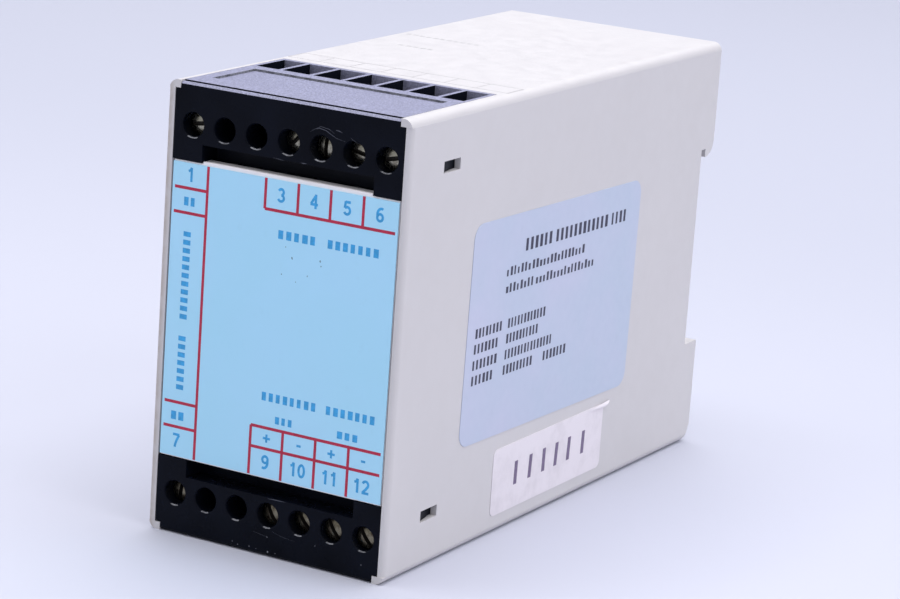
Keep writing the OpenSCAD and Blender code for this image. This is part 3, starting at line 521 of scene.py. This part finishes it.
def fit_screw(x, y, z):
    """Smaller screw heads, moved with the poles."""
    _, x, z = to_pole(x, z, HEAD_SCALE)
    return x, y, z


FITTINGS = {
    "case_shell": fit_case,
    "upper_terminal_block": fit_block,
    "lower_terminal_block": fit_block,
    "front_cover": fit_cover,
    "front_label": fit_cover,
    "upper_clamp_screws": fit_screw,
    "lower_clamp_screws": fit_screw,
}
for node_name, fitting in FITTINGS.items():
    refit(node_name, fitting)
flexing_spring()


def dress_nodes():
    """Gives each CAD node its material."""
    for name, material in NODE_MATERIALS.items():
        mesh = shown[name].data
        mesh.materials.clear()
        mesh.materials.append(material)
    for name, outer_z, end_side in (("upper_terminal_block", CASE_H, 1), ("lower_terminal_block", 0.0, -1)):
        dress_block(shown[name].data, outer_z, end_side)
    for name in ("upper_clamp_screws", "lower_clamp_screws"):
        dress_slots(shown[name].data)


def dress_block(mesh, outer_z, end_side):
    """Gives a block's faces their materials. end_side is 1 on the upper block and -1 on the lower one.

    Texture, with its pale coat of dust and painted sheen, is on the outer end and in the wire pockets, but not on
    the sides of their ribs. The walls of the marker recess get painted light and the lower rims of the holes a
    painted glint, both in grey. The back of the upper finger recess gets a lighter black, painted light against
    its shade, and the rest is polished.
    """
    polished, textured, painted_light_grey, painted_light_recess = range(4)
    mesh.materials.clear()
    for material in (polished_black, textured_black, painted_rim_grey, recess_light_painted):
        mesh.materials.append(material)
    rim_end, marker_front, recess_end, pocket_front = ((FRONT + y) * MM for y in (0.25, 2.0, 4.6, 20.4))
    recess_low, recess_top = (CASE_H - 12.9) * MM, (CASE_H - 9.0) * MM
    end_depth = 0.6 * MM
    facing_out, glint = (0.5, 0.67) if end_side > 0 else (0.9, 0.70)
    for face in mesh.polygons:
        y, z, normal = face.center.y, face.center.z, face.normal
        near_end = abs(z - outer_z * MM) < end_depth
        if near_end and normal.z * end_side > facing_out:
            face.material_index = textured
        elif y > pocket_front and abs(normal.x) < 0.5:
            face.material_index = textured
        # Painted light: the walls of the marker recess get the grey, which lifts their shade
        elif near_end and y > marker_front:
            face.material_index = painted_light_grey
        # Painted glint: the upward faces of the holes' lower rims get the grey
        elif y < rim_end and normal.z > glint and normal.y < -0.3:
            face.material_index = painted_light_grey
        # Painted light: the back of the upper finger recess gets the lighter black
        elif rim_end < y < recess_end and recess_low < z < recess_top and normal.y < -0.9:
            face.material_index = painted_light_recess
        else:
            face.material_index = polished


def dress_slots(mesh):
    """Near-black in the driver slots: their walls and floors, found from each screw's foremost point."""
    clean, slot_face = range(2)
    mesh.materials.append(slot_near_black)
    slot_d, head_r, pitch = 1.1 * MM, 1.85 * MM, PITCH * MM
    screws = {}
    for face in mesh.polygons:
        screws.setdefault(round(face.center.x / pitch), []).append(face)
    for faces in screws.values():
        near = min(mesh.vertices[k].co.y for face in faces for k in face.vertices)
        for face in faces:
            corners = [mesh.vertices[k].co.y for k in face.vertices]
            wall = abs(face.normal.y) < 0.1 and max(corners) < near + slot_d + 0.05 * MM
            floor_face = face.normal.y < -0.999 and min(corners) > near + slot_d - 0.2 * MM
            face.material_index = slot_face if (wall or floor_face) and max(corners) < near + head_r else clean


def soften_edges(name, radius):
    """Rounds a node's sharp edges for the light, by modifiers alone."""
    piece = shown[name]
    weld = piece.modifiers.new("weld", "WELD")
    weld.merge_threshold = 0.002 * MM
    flat = piece.modifiers.new("flat", "DECIMATE")
    flat.decimate_type = "DISSOLVE"
    flat.angle_limit = math.radians(0.4)
    bevel = piece.modifiers.new("bevel", "BEVEL")
    bevel.width = radius * MM
    bevel.segments = 2
    bevel.limit_method = "ANGLE"
    bevel.angle_limit = math.radians(40)
    flatten = piece.modifiers.new("flatten", "WEIGHTED_NORMAL")
    flatten.mode = "FACE_AREA"
    flatten.weight = 100
    for face in piece.data.polygons:
        face.use_smooth = True


dress_nodes()
for soft_node, soft_radius in (("case_shell", 0.15), ("front_cover", 0.1),
                               ("upper_terminal_block", 0.1), ("lower_terminal_block", 0.1)):
    soften_edges(soft_node, soft_radius)


# Print, wear and painted glints, as thin pieces that lie on the faces

def piece_from(bm, name, material):
    """Makes a piece of the housing from a bmesh."""
    mesh = bpy.data.meshes.new(name)
    bm.to_mesh(mesh)
    bm.free()
    mesh.materials.append(material)
    piece = bpy.data.objects.new(name, mesh)
    bpy.context.scene.collection.objects.link(piece)
    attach(piece, "housing")
    return piece


class Face:
    """A flat face to print on: a base corner, the directions of its u and v, and its outward direction."""

    def __init__(self, base, u, v, out, tilt=0.0, pivot=(0.0, 0.0)):
        self.base, self.u, self.v, self.out = Vector(base), Vector(u), Vector(v), Vector(out)
        self.tilt, self.pivot = math.radians(tilt), pivot

    def point(self, u, v, lift=0.0):
        du, dv = u - self.pivot[0], v - self.pivot[1]
        c, s = math.cos(self.tilt), math.sin(self.tilt)
        u, v = self.pivot[0] + c * du - s * dv, self.pivot[1] + s * du + c * dv
        return (self.base + self.u * u + self.v * v + self.out * lift) * MM


front_face = Face((0, FRONT, 0), (1, 0, 0), (0, 0, 1), (0, -1, 0))
side_face = Face((SIDE_LABEL_X, FRONT, 0), (0, 1, 0), (0, 0, 1), (1, 0, 0), tilt=-1.0, pivot=(51.4, 35.9))
sticker_face = Face((SIDE_LABEL_X, FRONT, 0), (0, 1, 0), (0, 0, 1), (1, 0, 0))
top_face = Face((0, FRONT, CASE_H), (1, 0, 0), (0, 1, 0), (0, 0, 1))


def slab(bm, face, outline, thickness):
    """A flat shape with straight sides, from its outline as (u, v) points, lifted off the face."""
    lower = [bm.verts.new(face.point(u, v, INK_LIFT)) for u, v in outline]
    upper = [bm.verts.new(face.point(u, v, thickness)) for u, v in outline]
    bm.faces.new(upper)
    bm.faces.new(lower[::-1])
    for k in range(len(outline)):
        n = (k + 1) % len(outline)
        bm.faces.new((lower[k], lower[n], upper[n], upper[k]))


def bar(bm, face, u0, u1, v0, v1, thickness=INK_T):
    slab(bm, face, [(u0, v0), (u1, v0), (u1, v1), (u0, v1)], thickness)


def glyph_row(bm, face, words, v, height, glyph, gap, low=1.0):
    """A row of plain blocks in place of words: (start, end) each. Some blocks are only low times as high."""
    rng = random.Random(round(10 * v))
    low_share, uneven = 0.6, (0.8, 1.2)
    for start, end in words:
        count = max(1, round((end - start + gap) / (glyph + gap)))
        step = (end - start + gap) / count
        for k in range(count):
            u = start + k * step
            top = height * (low if rng.random() < low_share else 1.0)
            bar(bm, face, u, u + step - gap * rng.uniform(*uneven), v - height / 2, v - height / 2 + top)


def red_lines():
    """The red frame lines of the front label."""
    half = 0.25
    left, right, bottom, top = -20.6, 20.6, 13.2, 61.85
    upright, cells_top, cells_bottom, cells_middle = -14.35, 56.9, 21.35, 17.9
    top_cells, bottom_cells = (-3.4, 2.7, 8.7, 14.7), (-3.75, 2.35, 8.5, 14.7)
    uprights = [(upright, bottom, top)]
    uprights += [(u, cells_top, top) for u in top_cells]
    uprights += [(u, bottom, cells_bottom) for u in bottom_cells]
    levels = [(left, upright, v) for v in (57.75, 53.7, 22.2, 18.07)]
    levels += [(top_cells[0], right, cells_top)]
    levels += [(bottom_cells[0], right, v) for v in (cells_bottom, cells_middle)]
    bm = bmesh.new()
    for u, v0, v1 in uprights:
        bar(bm, front_face, u - half, u + half, v0, v1)
    for u0, u1, v in levels:
        bar(bm, front_face, u0, u1, v - half, v + half, INK_T * 1.2)
    return piece_from(bm, "front_label_lines", ink("label_red", (0.43, 0.006, 0.045)))


# Each terminal number with the place of its middle
NUMBERS = [
    ("1", -17.64, 60.0), ("3", -0.45, 59.5), ("4", 5.66, 59.5), ("5", 11.76, 59.45), ("6", 17.73, 59.4),
    ("7", -18.0, 15.8), ("9", -0.72, 15.65), ("10", 5.4, 15.6), ("11", 11.45, 15.55), ("12", 17.4, 15.45),
]


def arc(u, v, ru, rv, start, end, steps=14):
    """Points of an elliptical arc about (u, v), with its angles in degrees."""
    turns = [math.radians(start + (end - start) * k / steps) for k in range(steps + 1)]
    return [(u + ru * math.cos(a), v + rv * math.sin(a)) for a in turns]


# Each digit as strokes in a box 0.56 wide and 1 high, with the strokes' middles drawn
DIGITS = {
    "0": [arc(0.28, 0.5, 0.20, 0.42, 0, 360, 28)],
    "1": [[(0.10, 0.74), (0.24, 0.80), (0.33, 1.0)], [(0.33, 1.0), (0.33, 0.0)]],
    "2": [arc(0.28, 0.69, 0.20, 0.23, 165, -30) + [(0.30, 0.34), (0.12, 0.15), (0.07, 0.07)],
          [(0.03, 0.075), (0.53, 0.075)]],
    "3": [arc(0.27, 0.71, 0.18, 0.21, 160, -80), arc(0.27, 0.29, 0.21, 0.22, 85, -160)],
    "4": [[(0.42, 0.97), (0.06, 0.33)], [(0.02, 0.30), (0.56, 0.30)], [(0.40, 0.0), (0.40, 1.0)]],
    "5": [[(0.50, 0.925), (0.14, 0.925)], [(0.15, 0.96), (0.09, 0.50)], arc(0.27, 0.33, 0.21, 0.255, 140, -155)],
    "6": [arc(0.28, 0.31, 0.20, 0.24, 0, 360, 24), arc(0.36, 0.50, 0.28, 0.43, 65, 205)],
    "7": [[(0.03, 0.925), (0.53, 0.925)], [(0.50, 0.90), (0.33, 0.52), (0.24, 0.24), (0.20, 0.0)]],
    "9": [arc(0.28, 0.69, 0.20, 0.24, 0, 360, 24), arc(0.20, 0.50, 0.28, 0.43, 245, 385)],
}
DIGIT_W = 0.56


def ribbon(bm, face, points, width, height=INK_T):
    """A flat stroke of even width along points."""
    last = len(points) - 1
    closed = math.dist(points[0], points[-1]) < 1e-6
    rows = []
    for k, (u, v) in enumerate(points):
        before = points[k - 1] if k else points[-2 if closed else 0]
        after = points[k + 1] if k < last else points[1 if closed else -1]
        du, dv = after[0] - before[0], after[1] - before[1]
        reach = width / 2 / math.hypot(du, dv)
        sides = ((u - dv * reach, v + du * reach), (u + dv * reach, v - du * reach))
        rows.append([bm.verts.new(face.point(*side, lift)) for lift in (INK_LIFT, height) for side in sides])
    for a, b in zip(rows, rows[1:]):
        for p, q in ((2, 3), (1, 0), (3, 1), (0, 2)):
            bm.faces.new((a[p], a[q], b[q], b[p]))
    if not closed:
        bm.faces.new((rows[0][0], rows[0][1], rows[0][3], rows[0][2]))
        bm.faces.new((rows[-1][2], rows[-1][3], rows[-1][1], rows[-1][0]))


def numbers(material):
    """The plain terminal numbers of the front label."""
    height, stroke, stretch, advance = 2.3, 0.42, 1.1, 0.70
    bm = bmesh.new()
    for text, middle, v in NUMBERS:
        row_w = (advance * (len(text) - 1) + DIGIT_W * stretch) * height
        for place, digit in enumerate(text):
            u0 = middle - row_w / 2 + place * advance * height
            for layer, line in enumerate(DIGITS[digit]):
                points = [(u0 + u * stretch * height, v + (w - 0.5) * height) for u, w in line]
                ribbon(bm, front_face, points, stroke, INK_T * (1 + 0.1 * layer))
    return piece_from(bm, "terminal_numbers", material)


# Rows of blocks, each as its words' (start, end), then v, height, block and gap
LABEL_ROWS = [
    ([(-0.6, 6.3), (8.6, 17.85)], 53.2, 1.4, 0.85, 0.55),
    ([(-2.0, 8.1), (10.1, 19.05)], 26.5, 1.4, 0.85, 0.55),
    ([(0.75, 3.9)], 22.95, 1.2, 0.8, 0.5),
    ([(12.4, 16.2)], 22.95, 1.2, 0.8, 0.5),
    ([(-18.7, -16.65)], 55.6, 1.4, 0.7, 0.5),
    ([(-19.2, -16.85)], 19.95, 1.4, 0.8, 0.5),
]
RATING_ROWS = [
    ([(39.5, 48.5), (50.1, 68.8), (70.4, 75.6)], 48.8, 2.1, 0.85, 0.75),
    ([(24.5, 33.2), (35.4, 48.2)], 36.1, 1.6, 0.60, 0.55),
    ([(24.4, 32.2), (35.2, 46.0)], 33.5, 1.6, 0.60, 0.55),
    ([(24.3, 32.2), (35.1, 51.3)], 30.8, 1.6, 0.60, 0.55),
    ([(24.3, 31.2), (34.9, 44.8), (48.8, 56.8)], 28.2, 1.6, 0.60, 0.55),
]
RATING_LOW_ROWS = [
    ([(33.6, 41.6), (42.4, 60.8)], 45.05, 1.5, 0.65, 0.60),
    ([(33.7, 43.0), (44.0, 64.7)], 42.2, 1.5, 0.65, 0.60),
]
TOP_ROWS = [
    ([(-20.0, -5.4)], 69.5, 0.8, 0.9, 0.5),
    ([(-15.0, -8.3)], 58.5, 0.8, 0.9, 0.5),
]


def column(bm, face, u0, u1, v0, v1, pitch, gap):
    """An upright column of plain blocks in place of words that run upwards."""
    count = round((v1 - v0) / pitch)
    step = (v1 - v0) / count
    for k in range(count):
        bar(bm, face, u0, u1, v0 + k * step, v0 + (k + 1) * step - gap)


def label_marks(material):
    """Polarity signs, and plain blocks where the label has its words."""
    bm = bmesh.new()
    arm, thin = 0.68, 0.19
    short_arm = arm / 1.7
    for u, v in ((-0.68, 19.62), (11.55, 19.55)):
        bar(bm, front_face, u - arm, u + arm, v - thin, v + thin)
        bar(bm, front_face, u - thin, u + thin, v - arm, v + arm, INK_T * 1.1)
    for u, v in ((5.43, 19.6), (17.5, 19.55)):
        bar(bm, front_face, u - short_arm, u + short_arm, v - thin, v + thin)
    for row in LABEL_ROWS:
        glyph_row(bm, front_face, *row)
    for v0, v1 in ((24.4, 33.9), (36.2, 51.2)):
        column(bm, front_face, -18.5, -17.1, v0, v1, 1.42, 0.55)
    return piece_from(bm, "front_label_marks", material)


def rating_marks():
    """Plain block rows on the rating label. Two of them have low blocks among high ones."""
    bm = bmesh.new()
    for row in RATING_ROWS:
        glyph_row(bm, side_face, *row)
    for row in RATING_LOW_ROWS:
        glyph_row(bm, side_face, *row, low=0.72)
    return piece_from(bm, "rating_label_marks", ink("rating_ink", (0.018, 0.018, 0.050)))


def sticker_marks():
    """Plain upright strokes on the stock sticker."""
    bm = bmesh.new()
    low, high, before, after = 7.2, 11.3, 0.6, 0.5
    for u, lean in ((42.0, 0.1), (47.0, 0.25), (51.9, 0.1), (56.3, 0.3), (60.9, 0.25), (66.2, 0.15)):
        left, right = u - before, u + after
        slab(bm, sticker_face, [(left, low), (right, low), (right + lean, high), (left + lean, high)], INK_T)
    return piece_from(bm, "stock_sticker_marks", ink("sticker_ink", (0.150, 0.110, 0.200)))


def sticker_flap():
    """The sticker's upper rear corner, lifted off the case and curled over."""
    surface, corner_y, corner_z = (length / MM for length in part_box("stock_sticker")[1])
    along, across, curl, past_end, inset = 5.0, 0.9, 0.5, 1.8, 0.6
    columns, rows = 9, 5
    bm = bmesh.new()
    grid = []
    for k in range(columns):
        s = k / (columns - 1)
        line = []
        for n in range(rows):
            t = n / (rows - 1)
            lift = curl * s * math.sin(math.pi * min(1.0, 0.25 + 0.6 * t))
            y = corner_y - along * (1 - s) + past_end * s * t
            z = corner_z - inset + across * t * (0.45 + 0.55 * s)
            line.append(bm.verts.new((surface + 0.02 + lift, y, z)))
        grid.append(line)
    for vert in bm.verts:
        vert.co *= MM
    for a, b in zip(grid, grid[1:]):
        for n in range(rows - 1):
            bm.faces.new((a[n], b[n], b[n + 1], a[n + 1]))
    sheet = piece_from(bm, "stock_sticker_flap", NODE_MATERIALS["stock_sticker"])
    thickness = sheet.modifiers.new("thickness", "SOLIDIFY")
    thickness.thickness = 0.08 * MM
    return sheet


def top_marks():
    """The faint print on top of the case: a row of seven cells and two short rows behind them."""
    bm = bmesh.new()
    thin, near, far, cells = 0.14, 32.4, 37.6, 7
    half_row = PITCH * cells / 2
    for v in (near, far):
        bar(bm, top_face, -half_row, half_row, v - thin, v + thin)
    for k in range(cells + 1):
        u = -half_row + PITCH * k
        bar(bm, top_face, u - thin, u + thin, near, far, INK_T * 1.1)
    for row in TOP_ROWS:
        glyph_row(bm, top_face, *row)
    return piece_from(bm, "case_top_marks", ink("faint_grey_ink", scaled(CASE_GREY, 0.80)))


def strand(bm, face, points, width):
    """A thin flat stroke along points, pointed at both ends."""
    last, tip = len(points) - 1, 0.15
    left, right = [], []
    for k, (u, v) in enumerate(points):
        (ua, va), (ub, vb) = points[max(k - 1, 0)], points[min(k + 1, last)]
        length = math.hypot(ub - ua, vb - va)
        half = width / 2 * max(tip, math.sin(math.pi * k / last))
        nu, nv = -(vb - va) / length * half, (ub - ua) / length * half
        left.append((u + nu, v + nv))
        right.append((u - nu, v - nv))
    slab(bm, face, left + right[::-1], INK_T)


# Wear and painted glints where the photo shows them: scratches and glints as (points, width), and specks as (u, v,
# size)
SCRATCHES_AND_GLINTS = [
    ([(4.2, 70.4), (5.0, 70.95), (5.9, 71.2), (7.1, 71.0), (8.1, 70.5), (9.0, 70.1), (10.7, 69.8)], 0.10),
    ([(4.9, 70.9), (6.1, 71.5), (7.6, 71.3), (8.8, 70.7)], 0.07),
    ([(8.8, 71.35), (9.4, 71.3), (10.1, 71.1)], 0.14),
    # These two strokes are painted glints on the upper edge of the upper finger recess
    ([(2.8, 65.25), (3.3, 65.2), (3.9, 65.25)], 0.16),
    ([(-2.4, 65.25), (-1.2, 65.15), (-0.2, 65.05)], 0.07),
    ([(11.5, 70.6), (12.2, 70.2), (13.1, 69.9)], 0.06),
    # Painted glint along the worn lower edge of the lower finger recess
    ([(0.2, 9.76), (1.8, 9.83), (3.6, 9.85)], 0.14),
    ([(1.4, 4.4), (3.4, 3.95), (5.8, 3.7)], 0.03),
    ([(-2.4, 3.75), (-0.9, 3.55), (0.6, 3.3)], 0.035),
]
LABEL_SPECKS = [(2.2, 49.8, 0.16), (7.4, 50.2, 0.15), (7.6, 49.4, 0.10), (0.4, 46.9, 0.10), (5.2, 47.4, 0.10),
                (0.9, 51.4, 0.10), (3.1, 46.1, 0.08)]
BLOCK_LINT = [(0.76, 0.85, 0.13), (-2.83, 1.08, 0.09), (-5.04, 0.90, 0.08), (2.19, 0.93, 0.07), (-6.1, 1.2, 0.06),
              (18.32, 2.64, 0.08), (0.5, 3.34, 0.07), (-1.5, 0.95, 0.06), (9.6, 3.86, 0.06)]


def scratches():
    """Light scratches and nicks on the black faces, and painted glints along the edges of the finger recesses."""
    bm = bmesh.new()
    for points, width in SCRATCHES_AND_GLINTS:
        strand(bm, front_face, points, width)
    return piece_from(bm, "block_scratches_and_glints", ink("scratch_and_glint_grey", (0.060, 0.066, 0.090), 0.5))


def specks(name, places, material, slot, seed):
    """Tiny uneven specks on the front, a little taller than wide."""
    bm = bmesh.new()
    rng = random.Random(seed)
    corners, tall, reach = 9, 1.4, (0.6, 1.2)
    for u, v, size in places:
        ring = [(u + size * rng.uniform(*reach) * math.cos(a), v + tall * size * rng.uniform(*reach) * math.sin(a))
                for a in (k * math.tau / corners for k in range(corners))]
        slab(bm, front_face, ring, INK_T / 2)
    return piece_from(bm, name, material)


label_ink = ink("label_mid_blue", (0.030, 0.330, 0.680))
red_lines()
numbers(label_ink)
label_marks(label_ink)
rating_marks()
sticker_marks()
sticker_flap()
top_marks()
scratches()
specks("front_label_specks", LABEL_SPECKS, ink("speck_grey", (0.16, 0.27, 0.36), 0.6), "front_label_film", 4)
specks("block_lint", BLOCK_LINT, ink("lint_grey", (0.22, 0.23, 0.27), 0.7), "block_plastic", 5)


# Studio

def floor():
    """A pale paper sweep with painted shade: its colour goes from light in front to darker behind. It curves up far
    behind.
    """
    half_width, front, back, rise_r, height = 3.0, -3.0, 2.2, 0.8, 2.6
    profile = [(front, 0.0), (-0.6, 0.0), (0.6, 0.0)]
    steps = 16
    for k in range(steps + 1):
        a = math.pi / 2 * k / steps
        profile.append((back + rise_r * math.sin(a), rise_r * (1 - math.cos(a))))
    profile.append((back + rise_r, height))
    bm = bmesh.new()
    rows = [[bm.verts.new((x, y, z)) for x in (-half_width, half_width)] for y, z in profile]
    for a, b in zip(rows, rows[1:]):
        bm.faces.new((a[0], a[1], b[1], b[0]))
    mesh = bpy.data.meshes.new("floor")
    bm.to_mesh(mesh)
    bm.free()
    for face in mesh.polygons:
        face.use_smooth = True
    # Painted shade: the floor's colour darkens from light in front to deep behind
    light, deep = (0.505, 0.516, 0.605), (0.425, 0.438, 0.522)
    light_to, deep_from, sway = -60.0, 300.0, 60.0
    shader = Shader("floor_paper_painted_shade", deep, 0.75)
    depth = shader.maths("ADD", shader.axis("Y"), shader.maths("MULTIPLY", shader.noise(260.0, 2.0), sway))
    shader.colour(shader.blend(shader.span(depth, light_to, deep_from), light, deep))
    shader.relief((shader.noise(1.2, 3.0), 0.006))
    mesh.materials.append(shader.material)
    sheet = bpy.data.objects.new("floor", mesh)
    bpy.context.scene.collection.objects.link(sheet)


def softbox(name, place, target, size, power, colour):
    """A rectangular area light at place that faces target. size is in metres."""
    light = bpy.data.lights.new(name, "AREA")
    light.shape = "RECTANGLE"
    light.size, light.size_y = size
    light.energy = power
    light.color = colour
    lamp = bpy.data.objects.new(name, light)
    lamp.location = place
    lamp.rotation_euler = (Vector(target) - Vector(place)).to_track_quat("-Z", "Y").to_euler()
    bpy.context.scene.collection.objects.link(lamp)


def studio():
    world = bpy.data.worlds.new("tent")
    world.use_nodes = True
    background = world.node_tree.nodes["Background"]
    background.inputs["Color"].default_value = (0.94, 0.95, 1.0, 1.0)
    background.inputs["Strength"].default_value = 0.62
    bpy.context.scene.world = world
    softbox("overhead", (0.0, 0.25, 1.2), (0, 0, 0.05), (1.5, 1.5), 22.0, (0.98, 0.98, 1.0))
    softbox("right", (1.0, 0.0, 0.65), (0, 0, 0.04), (0.9, 0.9), 4.6, (1.0, 0.98, 1.0))
    softbox("left", (-1.0, -0.6, 0.7), (0, 0, 0.04), (0.9, 0.9), 3.0, (1.0, 0.99, 1.0))


def camera():
    """The camera that was fitted to the photo's edges."""
    place = (0.26603, -0.47753, 0.16744)
    forward = Vector((-0.47191, 0.84860, -0.23913))
    roll = math.radians(3.995)
    lens = bpy.data.cameras.new("camera")
    lens.sensor_fit = "HORIZONTAL"
    lens.sensor_width = 36.0
    lens.lens = 130.05
    lens.clip_start = 0.01
    lens.clip_end = 20.0
    eye = bpy.data.objects.new("camera", lens)
    eye.rotation_mode = "QUATERNION"
    eye.location = place
    eye.rotation_quaternion = forward.to_track_quat("-Z", "Y") @ Quaternion((0, 0, 1), roll)
    bpy.context.scene.collection.objects.link(eye)
    bpy.context.scene.camera = eye


floor()
studio()
camera()
bpy.context.scene.view_settings.view_transform = "Standard"
